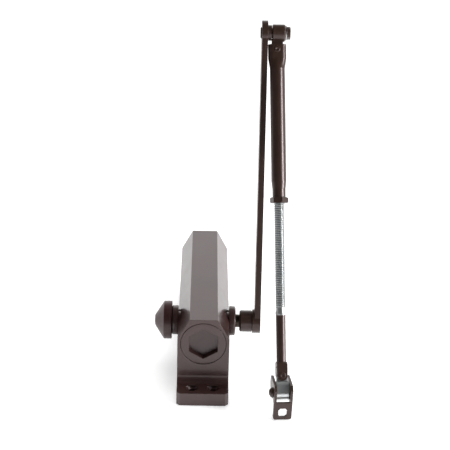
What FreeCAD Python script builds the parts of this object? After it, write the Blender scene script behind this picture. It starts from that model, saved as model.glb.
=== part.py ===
import FreeCAD, Part
import math
import os

V = FreeCAD.Vector

# Closer body: an eight-sided casting with a mounting foot at each end.
BODY_WIDTH = 46.5
BODY_HEIGHT = 75.0
BODY_LENGTH = 198.0
TOP_FLAT_WIDTH = 25.0
CHAMFER_DROP = 19.6
FOOT_REACH = 20.8
FOOT_THICK = 12.2
FOOT_CORNER = 3.0
FOOT_FILLET = 7.0
BASE_RELIEF = 1.0

# Fixing holes, one pair in each foot.
FIX_SPACING_ACROSS = 19.05
FIX_INSET = 10.5
FIX_HOLE_D = 6.6
FIX_SINK_D = 11.4
FIX_SINK_DEPTH = 2.8

# Cylinder bore, end plugs and their hexagon recesses.
BORE_D = 38.0
BORE_HEIGHT = 51.0
PLUG_D = 41.4
NEAR_PLUG_LENGTH = 15.0
FAR_PLUG_LENGTH = 13.0
PLUG_HEX_AF = 25.8
NEAR_HEX_DEPTH = 7.0
FAR_HEX_DEPTH = 8.0
PLUG_SEAL_WIDTH = 2.0
PLUG_SEAL_DEPTH = 1.5

# Pinion: its axis, gear, journals and squared ends.
PINION_FROM_NEAR_END = 46.0
GEAR_MODULE = 1.2
GEAR_TEETH = 11
PRESSURE_ANGLE = 25.0
ADDENDUM_FACTOR = 0.8
DEDENDUM_FACTOR = 1.0
GEAR_BACKLASH = 0.12
GEAR_HALF_FACE = 13.0
RACK_SIDE_RELIEF = 0.5
JOURNAL_D = 12.0
SQUARE_AF = 9.0
SQUARE_CLEAR = 0.05

# Bearings and seals in the two side housings.
HOUSING_D = 27.0
HOUSING_REACH = 5.9
SPIGOT_D = 16.0
BUSH_D = 14.0
RUNNING_GAP = 0.03
SEAL_D = 18.0
SEAL_LENGTH = 3.0
HOUSING_STANDOFF = 0.05

# Cap over the unused pinion end.
CAP_D = 35.0
CAP_RIM = 7.5
CAP_CONE = 8.3
CAP_TIP_D = 10.0
CAP_RING_D = 23.0
CAP_RING_LENGTH = 2.0

# Piston, rack window, check valve and closing springs.
PISTON_GAP = 0.05
PISTON_HEAD_GAP = 0.8
PISTON_HEAD = 6.1
PISTON_STROKE = 16.2
WINDOW_MARGIN = 0.5
WINDOW_TOP = 9.2
SPRING_HEAD = 14.9
RING_WIDTH = 1.8
RING_DEPTH = 1.2
CHECK_X = 8.0
CHECK_RISE = 4.0
CHECK_BALL_D = 4.0
CHECK_SEAT_D = 2.6
OUTER_SPRING_D = 34.0
OUTER_WIRE_D = 5.0
OUTER_TURNS = 11.0
INNER_SPRING_D = 22.0
INNER_WIRE_D = 3.0
INNER_TURNS = 17.0

# Speed valves in the far end face and their oil passages.
VALVE_D = 8.0
VALVE_OFFSET = 10.0
VALVE_HEIGHT = 24.0
VALVE_LENGTH = 13.0
VALVE_RUN_GAP = 0.04
PASSAGE_D = 2.5

# Main arm: hub, flat bar and lean away from the near end.
ARM_LENGTH = 264.0
ARM_LEAN = 14.0
HUB_D = 20.0
HUB_GAP = 3.8
HUB_LENGTH = 11.1
HUB_GROOVE = 0.7
HEAD_THICK = 7.3
HEAD_D = 22.0
BAR_THICK = 5.3
BAR_WIDTH = 20.0
ARM_SCREW_D = 6.0
ARM_SCREW_HEAD_D = 10.0
ARM_SCREW_HEAD = 3.8
ARM_WASHER_D = 11.4
ARM_WASHER = 0.8

# Elbow: stud riveted to the bar, screw, washer and knuckle.
STUD_HEAD_D = 9.8
STUD_HEAD = 1.2
STUD_RIVET_D = 8.0
STUD_COLLAR_D = 14.0
STUD_COLLAR = 3.5
STUD_D = 9.0
KNUCKLE_START_GAP = 0.6
KNUCKLE_WIDTH = 11.7
KNUCKLE_D = 15.5
KNUCKLE_END_GAP = 0.3
KNUCKLE_RUN_GAP = 0.05
ELBOW_SCREW_D = 6.0
ELBOW_HEX_AF = 10.0
ELBOW_HEX = 3.4
ELBOW_WASHER_D = 13.0
ELBOW_WASHER = 0.7
TANG_WIDTH = 10.0
TANG_THICK = 5.2
TANG_TAIL = 6.5
TANG_OFFSET = -1.35
RIVET_DROP = 15.0
RIVET_D = 4.0
RIVET_RUN_GAP = 0.05

# Forearm tube, from the flattened end down to its necked lower end.
FOREARM_LEAN = 26.56
FOREARM_SPLAY = 1.68
TUBE_OVER_ROD = 3.875
TUBE_WALL = 1.6
TUBE_TOP = 4.5
FLAT_WIDTH = 16.2
FLAT_CLEAR = 0.2
FLAT_POCKET_WIDTH = 12.6
FLAT_END = 8.0
FLAT_BLEND = 9.0
TUBE_LENGTH = 132.0
NECK_OVER_ROD = 2.275
NECK_LENGTH = 7.5
NECK_TAPER = 6.5

# Adjustable rod, jam nut and forked rod end.
ROD_D = 9.525
ROD_RUN_GAP = 0.05
ROD_TOP = 60.0
ROD_THREAD_END = 230.6
ROD_GROOVE = 1.8
ROD_GROOVE_D = 8.0
ROD_PLAIN = 3.6
ROD_PLAIN_D = 9.2
JAM_NUT_OVER_ROD = 4.775
JAM_NUT = 5.0
ROD_TURN = 6.5
ROD_END_D = 8.5
ROD_SPIGOT_D = 5.0
ROD_SPIGOT = 10.0
FORK_TO_RIVET = 288.8
FORK_INSET = 1.1
FORK_CHEEK = 2.0
FORK_ABOVE_RIVET = 11.8
FORK_SLOT_ABOVE = 7.3
RIVET_HEAD_D = 6.2
RIVET_HEAD = 0.7

# Frame shoe: knuckle, pin and bent bracket.
SHOE_KNUCKLE_D = 13.0
SHOE_KNUCKLE_WIDTH = 11.6
SHOE_BLOCK_TOP = 9.6
SHOE_TANG_WIDTH = 8.8
SHOE_GAP = 0.2
SHOE_PLATE = 2.2
SHOE_PIN_D = 6.4
SHOE_HEAD_D = 9.5
SHOE_HEAD = 3.3
SHOE_PEEN = 0.7
WEB_FRONT = 10.4
WEB_TOP = 4.7
SHOE_CORNER = 2.0
WEB_BOTTOM = 21.3
EAR_BACK = 14.0
EAR_TOP = 10.5
SHOE_HOLE_W = 7.6
SHOE_HOLE_H = 8.2
SHOE_HOLE_DROP = 14.5

HALF_W = BODY_WIDTH / 2.0
HALF_L = BODY_LENGTH / 2.0
TUBE_D = ROD_D + TUBE_OVER_ROD
NECK_D = ROD_D + NECK_OVER_ROD
JAM_NUT_AF = ROD_D + JAM_NUT_OVER_ROD
FLAT_GAP = TANG_THICK + FLAT_CLEAR
FORK_WIDTH = SHOE_KNUCKLE_WIDTH - 2.0 * FORK_INSET
PINION_Y = -HALF_L + PINION_FROM_NEAR_END
PITCH_R = GEAR_MODULE * GEAR_TEETH / 2.0
TIP_R = PITCH_R + ADDENDUM_FACTOR * GEAR_MODULE
ROOT_R = PITCH_R - DEDENDUM_FACTOR * GEAR_MODULE
SIDE = HALF_W + HOUSING_STANDOFF
HUB_START = SIDE + HOUSING_REACH + HUB_GAP
BAR_RIGHT = HUB_START + HUB_LENGTH + HUB_GROOVE + HEAD_THICK
BAR_LEFT = BAR_RIGHT - BAR_THICK
KNUCKLE_LEFT = BAR_RIGHT + STUD_COLLAR + KNUCKLE_START_GAP
KNUCKLE_RIGHT = KNUCKLE_LEFT + KNUCKLE_WIDTH
STUD_END = KNUCKLE_RIGHT + KNUCKLE_END_GAP
TANG_X = (KNUCKLE_LEFT + KNUCKLE_RIGHT) / 2.0 + TANG_OFFSET
NEAR_FACE_IN = -HALF_L + NEAR_PLUG_LENGTH
FAR_FACE_IN = HALF_L - FAR_PLUG_LENGTH
PISTON_Y0 = NEAR_FACE_IN + PISTON_HEAD_GAP
WINDOW_Y0 = PISTON_Y0 + PISTON_HEAD
WINDOW_Y1 = PINION_Y + TIP_R + WINDOW_MARGIN
PISTON_Y1 = WINDOW_Y1 + SPRING_HEAD


def cyl_x(r, x0, x1, y=0.0, z=0.0):
    return Part.makeCylinder(r, x1 - x0, V(x0, y, z), V(1, 0, 0))


def cyl_y(r, y0, y1, x=0.0, z=0.0):
    return Part.makeCylinder(r, y1 - y0, V(x, y0, z), V(0, 1, 0))


def cyl_z(r, z0, z1, x=0.0, y=0.0):
    return Part.makeCylinder(r, z1 - z0, V(x, y, z0), V(0, 0, 1))


def box(x0, x1, y0, y1, z0, z1):
    return Part.makeBox(x1 - x0, y1 - y0, z1 - z0, V(x0, y0, z0))


def prism(points, along):
    face = Part.Face(Part.makePolygon(points + [points[0]]))
    return face.extrude(along)


def hexagon(af, start, along, turn=0.0):
    r = af / math.sqrt(3.0)
    axis = V(along).normalize()
    u = V(0, 0, 1) if abs(axis.z) < 0.5 else V(1, 0, 0)
    w = axis.cross(u)
    pts = []
    for i in range(6):
        a = math.radians(60.0 * i + turn)
        pts.append(start + u * (r * math.cos(a)) + w * (r * math.sin(a)))
    return prism(pts, along)


def spin_x(profile, y, z):
    """Solid of revolution about an X axis from (x, radius) pairs."""
    pts = [V(x, y, z + r) for x, r in profile]
    face = Part.Face(Part.makePolygon(pts + [pts[0]]))
    return face.revolve(V(0, y, z), V(1, 0, 0), 360)


def spin_z(profile):
    """Solid of revolution about the Z axis from (radius, z) pairs."""
    pts = [V(r, 0, z) for r, z in profile]
    face = Part.Face(Part.makePolygon(pts + [pts[0]]))
    return face.revolve(V(0, 0, 0), V(0, 0, 1), 360)


def body_section():
    flat = TOP_FLAT_WIDTH / 2.0
    side = BODY_HEIGHT - CHAMFER_DROP
    outline = [(-HALF_W, 0), (HALF_W, 0), (HALF_W, side), (flat, BODY_HEIGHT),
               (-flat, BODY_HEIGHT), (-HALF_W, side)]
    return [V(x, -HALF_L, z) for x, z in outline]


def foot(sign):
    end = HALF_L + FOOT_REACH
    c = FOOT_CORNER
    outline = [(-HALF_W, HALF_L), (HALF_W, HALF_L), (HALF_W, end - c), (HALF_W - c, end),
               (c - HALF_W, end), (-HALF_W, end - c)]
    slab = prism([V(x, sign * y, 0) for x, y in outline], V(0, 0, FOOT_THICK))
    y0, y1 = sorted((sign * HALF_L, sign * (HALF_L + FOOT_FILLET)))
    bead = box(-HALF_W, HALF_W, y0, y1, FOOT_THICK, FOOT_THICK + FOOT_FILLET)
    hollow = cyl_x(FOOT_FILLET, -HALF_W - 1, HALF_W + 1, sign * (HALF_L + FOOT_FILLET),
                   FOOT_THICK + FOOT_FILLET)
    return slab.fuse(bead.cut(hollow))


def fixing_holes():
    cuts = []
    rise = FOOT_THICK - FIX_SINK_DEPTH
    for sx in (-1, 1):
        for sy in (-1, 1):
            x = sx * FIX_SPACING_ACROSS / 2.0
            y = sy * (HALF_L + FIX_INSET)
            cuts.append(cyl_z(FIX_HOLE_D / 2.0, -1, FOOT_THICK + 1, x, y))
            cuts.append(Part.makeCone(FIX_HOLE_D / 2.0, FIX_SINK_D / 2.0, FIX_SINK_DEPTH,
                                      V(x, y, rise), V(0, 0, 1)))
    return cuts


def oil_passages():
    cuts = []
    for sx in (-1, 1):
        x = sx * VALVE_OFFSET
        seat = HALF_L - VALVE_LENGTH - 2.0
        cuts.append(cyl_y(VALVE_D / 2.0, seat, HALF_L + 1, x, VALVE_HEIGHT))
        cuts.append(cyl_y(PASSAGE_D / 2.0, NEAR_FACE_IN + 1.5, seat + 1, x, VALVE_HEIGHT))
        top = BORE_HEIGHT - math.sqrt((BORE_D / 2.0) ** 2 - x * x) + 1.0
        for y in (NEAR_FACE_IN + 3.0, FAR_FACE_IN - 6.0):
            cuts.append(cyl_z(PASSAGE_D / 2.0, VALVE_HEIGHT, top, x, y))
    return cuts


def body_casting():
    shape = prism(body_section(), V(0, BODY_LENGTH, 0))
    shape = shape.fuse([foot(-1), foot(1)]).removeSplitter()
    cuts = [cyl_y(BORE_D / 2.0, -HALF_L - 1, HALF_L + 1, 0, BORE_HEIGHT),
            cyl_y(PLUG_D / 2.0, -HALF_L - 1, NEAR_FACE_IN, 0, BORE_HEIGHT),
            cyl_y(PLUG_D / 2.0, FAR_FACE_IN, HALF_L + 1, 0, BORE_HEIGHT),
            cyl_x(SPIGOT_D / 2.0, -HALF_W - 1, HALF_W + 1, PINION_Y, BORE_HEIGHT),
            box(6 - HALF_W, HALF_W - 6, 7 - HALF_L, HALF_L - 7, -1, BASE_RELIEF)]
    return shape.cut(cuts + fixing_holes() + oil_passages())


def plug(length, hex_depth):
    """Plug with its outer face at y = 0 and its body towards +Y."""
    r = PLUG_D / 2.0
    shape = cyl_y(r, 0, length)
    shape = shape.cut(hexagon(PLUG_HEX_AF, V(0, -1, 0), V(0, hex_depth + 1, 0)))
    y0 = length - 1.5 - PLUG_SEAL_WIDTH
    groove = cyl_y(r + 1, y0, y0 + PLUG_SEAL_WIDTH).cut(
        cyl_y(r - PLUG_SEAL_DEPTH, y0 - 1, y0 + PLUG_SEAL_WIDTH + 1))
    return shape.cut(groove)


def plug_seal(length):
    y0 = length - 1.5 - PLUG_SEAL_WIDTH
    r = PLUG_D / 2.0
    return cyl_y(r, y0, y0 + PLUG_SEAL_WIDTH).cut(
        cyl_y(r - PLUG_SEAL_DEPTH, y0 - 1, y0 + PLUG_SEAL_WIDTH + 1))


def at_near_end(shape):
    shape.translate(V(0, -HALF_L, BORE_HEIGHT))
    return shape


def at_far_end(shape):
    shape.rotate(V(0, 0, 0), V(0, 0, 1), 180)
    shape.translate(V(0, HALF_L, BORE_HEIGHT))
    return shape


def mirror_x(shape):
    return shape.mirror(V(0, 0, 0), V(1, 0, 0))


def bearing_housing(ring):
    inner = BORE_D / 2.0
    face = SIDE + HOUSING_REACH
    r = HOUSING_D / 2.0
    shape = cyl_x(SPIGOT_D / 2.0, inner, SIDE, PINION_Y, BORE_HEIGHT)
    shape = shape.fuse(spin_x([(SIDE, 0), (SIDE, r), (face - 0.8, r), (face, r - 0.8),
                               (face, 0)], PINION_Y, BORE_HEIGHT))
    if ring:
        shape = shape.fuse(cyl_x(CAP_RING_D / 2.0, face, face + CAP_RING_LENGTH,
                                 PINION_Y, BORE_HEIGHT))
    shape = shape.cut(cyl_x(BUSH_D / 2.0, inner - 1, face + 5, PINION_Y, BORE_HEIGHT))
    return shape.cut(cyl_x(SEAL_D / 2.0, face - SEAL_LENGTH, face + 5, PINION_Y, BORE_HEIGHT))


def pinion_bush():
    r = JOURNAL_D / 2.0 + RUNNING_GAP
    x0 = BORE_D / 2.0
    x1 = SIDE + HOUSING_REACH - SEAL_LENGTH
    ring = cyl_x(BUSH_D / 2.0, x0, x1, PINION_Y, BORE_HEIGHT)
    ring = ring.cut(cyl_x(r, x0 - 1, x1 + 1, PINION_Y, BORE_HEIGHT))
    return Part.makeCompound([ring, mirror_x(ring)])


def shaft_seal():
    r = JOURNAL_D / 2.0 + RUNNING_GAP
    x1 = SIDE + HOUSING_REACH
    x0 = x1 - SEAL_LENGTH
    lip = [(x0, SEAL_D / 2.0), (x1 - 0.3, SEAL_D / 2.0), (x1 - 0.3, r + 1.2), (x1 - 1.4, r),
           (x0, r)]
    ring = spin_x(lip, PINION_Y, BORE_HEIGHT)
    return Part.makeCompound([ring, mirror_x(ring)])


def pinion_cap():
    x0 = SIDE + HOUSING_REACH
    rim = x0 + CAP_RIM
    tip = rim + CAP_CONE
    outer = [(x0, 0), (x0, CAP_D / 2.0), (rim, CAP_D / 2.0), (tip - 1.0, CAP_TIP_D / 2.0 + 0.6),
             (tip, CAP_TIP_D / 2.0 - 0.8), (tip, 0)]
    shape = spin_x(outer, PINION_Y, BORE_HEIGHT)
    shape = shape.cut(cyl_x(CAP_RING_D / 2.0, x0 - 1, x0 + 9.5, PINION_Y, BORE_HEIGHT))
    return mirror_x(shape)


def involute(base, r, start):
    t = math.sqrt(max((r / base) ** 2 - 1.0, 0.0))
    return start + t - math.atan(t)


def gear_outline():
    """Involute teeth about the X axis, one tooth pointing straight down."""
    alpha = math.radians(PRESSURE_ANGLE)
    base = PITCH_R * math.cos(alpha)
    thick = math.pi * GEAR_MODULE / 2.0 - GEAR_BACKLASH
    half = thick / (2.0 * PITCH_R) + math.tan(alpha) - alpha
    radii = [base + (TIP_R - base) * i / 5.0 for i in range(6)]
    pts = []
    for tooth in range(GEAR_TEETH):
        mid = -math.pi / 2.0 + 2.0 * math.pi * tooth / GEAR_TEETH
        left = [(ROOT_R, mid - half)] + [(r, mid - half + involute(base, r, 0.0)) for r in radii]
        right = [(r, 2.0 * mid - a) for r, a in reversed(left)]
        for r, a in left + right:
            pts.append(V(-GEAR_HALF_FACE, PINION_Y + r * math.cos(a),
                         BORE_HEIGHT + r * math.sin(a)))
    return pts


def square_x(af, x0, x1):
    h = af / 2.0
    return box(x0, x1, PINION_Y - h, PINION_Y + h, BORE_HEIGHT - h, BORE_HEIGHT + h)


def pinion():
    r = JOURNAL_D / 2.0
    end = HUB_START + HUB_LENGTH - 0.3
    left = -(SIDE + HOUSING_REACH)
    shape = prism(gear_outline(), V(2.0 * GEAR_HALF_FACE, 0, 0))
    shape = shape.fuse([cyl_x(r, GEAR_HALF_FACE, HUB_START, PINION_Y, BORE_HEIGHT),
                        cyl_x(r, left, -GEAR_HALF_FACE, PINION_Y, BORE_HEIGHT),
                        lean_arm(square_x(SQUARE_AF, HUB_START, end)),
                        lean_arm(square_x(SQUARE_AF, left - 8.0, left))])
    return shape.cut(cyl_x(ARM_SCREW_D / 2.0, end - 12.0, end + 1, PINION_Y, BORE_HEIGHT))


def rack_spaces():
    """Straight-sided spaces between rack teeth, one centred under the pinion."""
    pitch = math.pi * GEAR_MODULE
    slope = math.tan(math.radians(PRESSURE_ANGLE))
    line = BORE_HEIGHT - PITCH_R
    top = line + ADDENDUM_FACTOR * GEAR_MODULE
    root = line - DEDENDUM_FACTOR * GEAR_MODULE
    half = (pitch / 2.0 + GEAR_BACKLASH) / 2.0
    w_top = half + (top + 0.5 - line) * slope
    w_root = half - (line - root) * slope
    cuts = []
    first = int(math.ceil((WINDOW_Y0 + w_top - PINION_Y) / pitch))
    last = int(math.floor((WINDOW_Y1 - w_top - PINION_Y) / pitch))
    for i in range(first, last + 1):
        y = PINION_Y + i * pitch
        pts = [V(-25, y - w_top, top + 0.5), V(-25, y + w_top, top + 0.5),
               V(-25, y + w_root, root), V(-25, y - w_root, root)]
        cuts.append(prism(pts, V(50, 0, 0)))
    return cuts


def piston():
    r = BORE_D / 2.0 - PISTON_GAP
    tips = BORE_HEIGHT - PITCH_R + ADDENDUM_FACTOR * GEAR_MODULE
    roots = BORE_HEIGHT - PITCH_R - DEDENDUM_FACTOR * GEAR_MODULE
    top = BORE_HEIGHT + WINDOW_TOP
    shape = cyl_y(r, PISTON_Y0, PISTON_Y1, 0, BORE_HEIGHT)
    cuts = [box(-25, 25, WINDOW_Y0, WINDOW_Y1, tips, top)]
    side = GEAR_HALF_FACE - RACK_SIDE_RELIEF
    cuts.append(box(-25, -side, WINDOW_Y0, WINDOW_Y1, roots, top))
    cuts.append(box(side, 25, WINDOW_Y0, WINDOW_Y1, roots, top))
    groove = cyl_y(r + 1, PISTON_Y0 + 1.4, PISTON_Y0 + 1.4 + RING_WIDTH, 0, BORE_HEIGHT)
    cuts.append(groove.cut(cyl_y(r - RING_DEPTH, PISTON_Y0, PISTON_Y1, 0, BORE_HEIGHT)))
    cz = BORE_HEIGHT + CHECK_RISE
    cuts.append(cyl_y(CHECK_SEAT_D / 2.0, PISTON_Y0 - 1, WINDOW_Y0 + 1, CHECK_X, cz))
    pocket = CHECK_BALL_D / 2.0 + 0.3
    cuts.append(cyl_y(pocket, PISTON_Y0 + 1.6, WINDOW_Y0 + 1, CHECK_X, cz))
    return shape.cut(cuts + rack_spaces())


def piston_ring():
    y0 = PISTON_Y0 + 1.4
    r = BORE_D / 2.0
    inner = r - PISTON_GAP - RING_DEPTH
    ring = cyl_y(r - 0.02, y0, y0 + RING_WIDTH, 0, BORE_HEIGHT)
    return ring.cut(cyl_y(inner, y0 - 1, y0 + RING_WIDTH + 1, 0, BORE_HEIGHT))


def check_ball():
    r = CHECK_BALL_D / 2.0
    seat = CHECK_SEAT_D / 2.0
    y = PISTON_Y0 + 1.6 + math.sqrt(r * r - seat * seat)
    return Part.makeSphere(r, V(CHECK_X, y, BORE_HEIGHT + CHECK_RISE))


def check_retainer():
    z = BORE_HEIGHT + CHECK_RISE
    ring = cyl_y(CHECK_BALL_D / 2.0 + 0.3, WINDOW_Y0 - 0.9, WINDOW_Y0, CHECK_X, z)
    return ring.cut(cyl_y(1.0, WINDOW_Y0 - 2, WINDOW_Y0 + 1, CHECK_X, z))


def spring(outer_d, wire_d, turns):
    """Closing spring between the piston and the far plug, ends ground flat."""
    y0 = PISTON_Y1
    y1 = FAR_FACE_IN
    length = y1 - y0
    mean = (outer_d - wire_d) / 2.0
    path = Part.makeHelix(length / turns, length, mean)
    wire = Part.Wire([Part.Edge(Part.Circle(V(mean, 0, 0), V(0, 1, 0), wire_d / 2.0))])
    solid = Part.Wire(path).makePipeShell([wire], True, True)
    solid.rotate(V(0, 0, 0), V(1, 0, 0), -90)
    solid.translate(V(0, y0, BORE_HEIGHT))
    room = cyl_y(outer_d, y0 + 0.02, y1 - 0.02, 0, BORE_HEIGHT)
    return solid.common(room)


def valve(sx):
    x = sx * VALVE_OFFSET
    r = VALVE_D / 2.0
    seat = HALF_L - VALVE_LENGTH - 2.0
    shape = cyl_y(r - VALVE_RUN_GAP, seat + 2.0, HALF_L - 0.6, x, VALVE_HEIGHT)
    tip = Part.makeCone(1.0, 2.6, 1.7, V(x, seat + 0.3, VALVE_HEIGHT), V(0, 1, 0))
    shape = shape.fuse(tip)
    groove = cyl_y(r + 1, seat + 5, seat + 6.8, x, VALVE_HEIGHT).cut(
        cyl_y(r - 1.3, seat, HALF_L, x, VALVE_HEIGHT))
    slot = box(x - 5, x + 5, HALF_L - 2.2, HALF_L, VALVE_HEIGHT - 0.6, VALVE_HEIGHT + 0.6)
    return shape.cut([groove, slot])


def valve_seal(sx):
    x = sx * VALVE_OFFSET
    r = VALVE_D / 2.0
    seat = HALF_L - VALVE_LENGTH - 2.0
    return cyl_y(r - 0.01, seat + 5, seat + 6.8, x, VALVE_HEIGHT).cut(
        cyl_y(r - 1.3, seat, HALF_L, x, VALVE_HEIGHT))


def elbow_point():
    a = math.radians(ARM_LEAN)
    return V(0, PINION_Y + ARM_LENGTH * math.sin(a), BORE_HEIGHT + ARM_LENGTH * math.cos(a))


def lean_arm(shape):
    """Turn a piece drawn straight up from the pinion to the arm's lean."""
    shape.rotate(V(0, PINION_Y, BORE_HEIGHT), V(1, 0, 0), -ARM_LEAN)
    return shape


def main_arm():
    y, z = PINION_Y, BORE_HEIGHT
    hub_end = HUB_START + HUB_LENGTH
    head = hub_end + HUB_GROOVE
    h = BAR_WIDTH / 2.0
    r = HEAD_D / 2.0
    hub = spin_x([(HUB_START, 0), (HUB_START, HUB_D / 2.0 - 1.2), (HUB_START + 1.2, HUB_D / 2.0),
                  (hub_end, HUB_D / 2.0), (hub_end, HUB_D / 2.0 - 0.6),
                  (head, HUB_D / 2.0 - 0.6), (head, 0)], y, z)
    shape = hub.fuse([cyl_x(r, head, BAR_RIGHT, y, z),
                      box(BAR_LEFT, BAR_RIGHT, y - h, y + h, z, z + ARM_LENGTH),
                      cyl_x(r, BAR_LEFT, BAR_RIGHT, y, z + ARM_LENGTH)])
    socket = SQUARE_AF + 2.0 * SQUARE_CLEAR
    well = ARM_WASHER_D / 2.0 + 0.1
    deep = BAR_RIGHT - ARM_SCREW_HEAD - ARM_WASHER - 0.4
    shape = shape.cut([square_x(socket, HUB_START - 1, hub_end),
                       cyl_x(ARM_SCREW_D / 2.0 + 0.2, hub_end - 1, BAR_RIGHT + 1, y, z),
                       cyl_x(well, deep, BAR_RIGHT + 1, y, z),
                       cyl_x(STUD_RIVET_D / 2.0, BAR_LEFT - 1, BAR_RIGHT + 1, y, z + ARM_LENGTH)])
    return lean_arm(shape.removeSplitter())


def arm_washer():
    deep = BAR_RIGHT - ARM_SCREW_HEAD - ARM_WASHER - 0.4
    ring = cyl_x(ARM_WASHER_D / 2.0, deep, deep + ARM_WASHER, PINION_Y, BORE_HEIGHT)
    return ring.cut(cyl_x(ARM_SCREW_D / 2.0 + 0.2, deep - 1, deep + 2, PINION_Y, BORE_HEIGHT))


def arm_screw():
    x0 = BAR_RIGHT - ARM_SCREW_HEAD - 0.4
    end = HUB_START + HUB_LENGTH - 0.3
    head = cyl_x(ARM_SCREW_HEAD_D / 2.0, x0, x0 + ARM_SCREW_HEAD, PINION_Y, BORE_HEIGHT)
    shape = head.fuse(cyl_x(ARM_SCREW_D / 2.0, end - 10.0, x0, PINION_Y, BORE_HEIGHT))
    key = hexagon(5.0, V(x0 + 1.4, PINION_Y, BORE_HEIGHT), V(ARM_SCREW_HEAD, 0, 0))
    return shape.cut(key)


def elbow_stud():
    e = elbow_point()
    stud = [(BAR_LEFT - STUD_HEAD, STUD_HEAD_D / 2.0), (BAR_LEFT, STUD_HEAD_D / 2.0),
            (BAR_LEFT, STUD_RIVET_D / 2.0), (BAR_RIGHT, STUD_RIVET_D / 2.0),
            (BAR_RIGHT, STUD_COLLAR_D / 2.0), (BAR_RIGHT + STUD_COLLAR, STUD_COLLAR_D / 2.0),
            (BAR_RIGHT + STUD_COLLAR, STUD_D / 2.0), (STUD_END, STUD_D / 2.0), (STUD_END, 0),
            (BAR_LEFT - STUD_HEAD, 0)]
    shape = spin_x(stud, e.y, e.z)
    return shape.cut(cyl_x(ELBOW_SCREW_D / 2.0, STUD_END - 10.0, STUD_END + 1, e.y, e.z))


def elbow_washer():
    e = elbow_point()
    ring = cyl_x(ELBOW_WASHER_D / 2.0, STUD_END, STUD_END + ELBOW_WASHER, e.y, e.z)
    return ring.cut(cyl_x(ELBOW_SCREW_D / 2.0 + 0.2, STUD_END - 1, STUD_END + 2, e.y, e.z))


def elbow_screw():
    e = elbow_point()
    x0 = STUD_END + ELBOW_WASHER
    shank = cyl_x(ELBOW_SCREW_D / 2.0, STUD_END - 9.0, x0, e.y, e.z)
    head = hexagon(ELBOW_HEX_AF, V(x0, e.y, e.z), V(ELBOW_HEX, 0, 0), 20.0)
    return head.fuse(shank)


def forearm_frame():
    """Axes at the elbow with -Z down the forearm and +Y away from the near end."""
    e = elbow_point()
    return FreeCAD.Placement(e, FreeCAD.Rotation(V(1, 0, 0), -FOREARM_LEAN))


def tube_frame():
    """Axes at the tube rivet with -Z down the splayed tube."""
    splay = FreeCAD.Placement(V(TANG_X, 0, -RIVET_DROP),
                              FreeCAD.Rotation(V(0, 1, 0), -FOREARM_SPLAY))
    return forearm_frame().multiply(splay)


def rod_frame():
    turn = FreeCAD.Placement(V(0, 0, 0), FreeCAD.Rotation(V(0, 0, 1), ROD_TURN))
    return tube_frame().multiply(turn)


def rod_rivet_frame():
    drop = FreeCAD.Placement(V(0, 0, -FORK_TO_RIVET), FreeCAD.Rotation())
    return rod_frame().multiply(drop)


def shoe_frame():
    """Axes on the shoe pin with +Z square to the bracket's lower edge."""
    drop = FreeCAD.Placement(V(0, 0, -RIVET_DROP), FreeCAD.Rotation(V(1, 0, 0), FOREARM_LEAN))
    return rod_rivet_frame().multiply(drop)


def placed(shape, frame):
    moved = shape.copy()
    moved.Placement = frame.multiply(moved.Placement)
    return moved


def tang(x_mid, z_low, z_high, rivet_z, width=TANG_WIDTH):
    h = width / 2.0
    t = TANG_THICK / 2.0
    blade = box(x_mid - h, x_mid + h, -t, t, z_low, z_high)
    return blade, cyl_y(RIVET_D / 2.0 + RIVET_RUN_GAP, -t - 1, t + 1, x_mid, rivet_z)


def elbow_knuckle():
    r = KNUCKLE_D / 2.0
    barrel = spin_x([(KNUCKLE_LEFT, 0), (KNUCKLE_LEFT, r - 0.5), (KNUCKLE_LEFT + 0.5, r),
                     (KNUCKLE_RIGHT - 1.0, r), (KNUCKLE_RIGHT, r - 1.0), (KNUCKLE_RIGHT, 0)], 0, 0)
    low = -RIVET_DROP - TANG_TAIL
    blade, hole = tang(TANG_X, low, -r + 2.0, -RIVET_DROP)
    shape = barrel.fuse(blade)
    bore = cyl_x(STUD_D / 2.0 + KNUCKLE_RUN_GAP, KNUCKLE_LEFT - 1, KNUCKLE_RIGHT + 1)
    return placed(shape.cut([bore, hole]), forearm_frame())


def obround(half, r, z):
    """Closed outline of four edges: two straight, two half round."""
    a, b = V(-half, -r, z), V(half, -r, z)
    c, d = V(half, r, z), V(-half, r, z)
    return Part.Wire([Part.makeLine(a, b), Part.Arc(b, V(half + r, 0, z), c).toShape(),
                      Part.makeLine(c, d), Part.Arc(d, V(-half - r, 0, z), a).toShape()])


def split_circle(r, half, rr, z):
    """Circle cut at the four corners where the flattened outline has its own."""
    k = math.atan2(rr, half)
    p = [V(r * math.cos(a), r * math.sin(a), z) for a in (math.pi + k, -k, k, math.pi - k)]
    mids = [V(0, -r, z), V(r, 0, z), V(0, r, z), V(-r, 0, z)]
    return Part.Wire([Part.Arc(p[i], mids[i], p[(i + 1) % 4]).toShape() for i in range(4)])


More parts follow.
